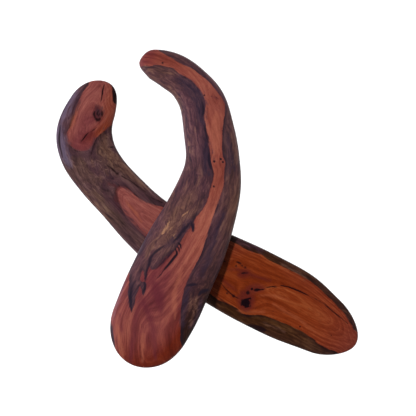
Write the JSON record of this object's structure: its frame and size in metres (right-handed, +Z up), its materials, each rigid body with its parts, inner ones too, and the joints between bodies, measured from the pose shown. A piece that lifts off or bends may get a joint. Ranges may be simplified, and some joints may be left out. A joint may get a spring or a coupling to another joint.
{
  "type": "crossed pair of boomerangs",
  "caption": "Hooked wooden boomerangs lying crossed, each with a crowned face, rounded rims and a wide blade; the upper one lifts off the lower.",
  "frame": {"origin": "under the middle of the pair, on the surface that the lower boomerang lies on", "axes": "+Z up, +Y from the upper boomerang's blade towards its hook, +X towards the lower boomerang's blade"},
  "size_m": [0.3336, 0.3508, 0.0517],
  "materials": {
    "lower_wood": "oiled, satin",
    "upper_wood": "oiled, satin"
  },
  "bodies": {
    "lower_boomerang": {"lower_boomerang": "lower_wood"},
    "upper_boomerang": {"upper_boomerang": "upper_wood"}
  },
  "joints": [
    {"name": "upper_lift", "type": "slide", "parent": "lower_boomerang", "child": "upper_boomerang", "axis": [0, 0, 1], "range_m": [0, 0.1]}
  ]
}
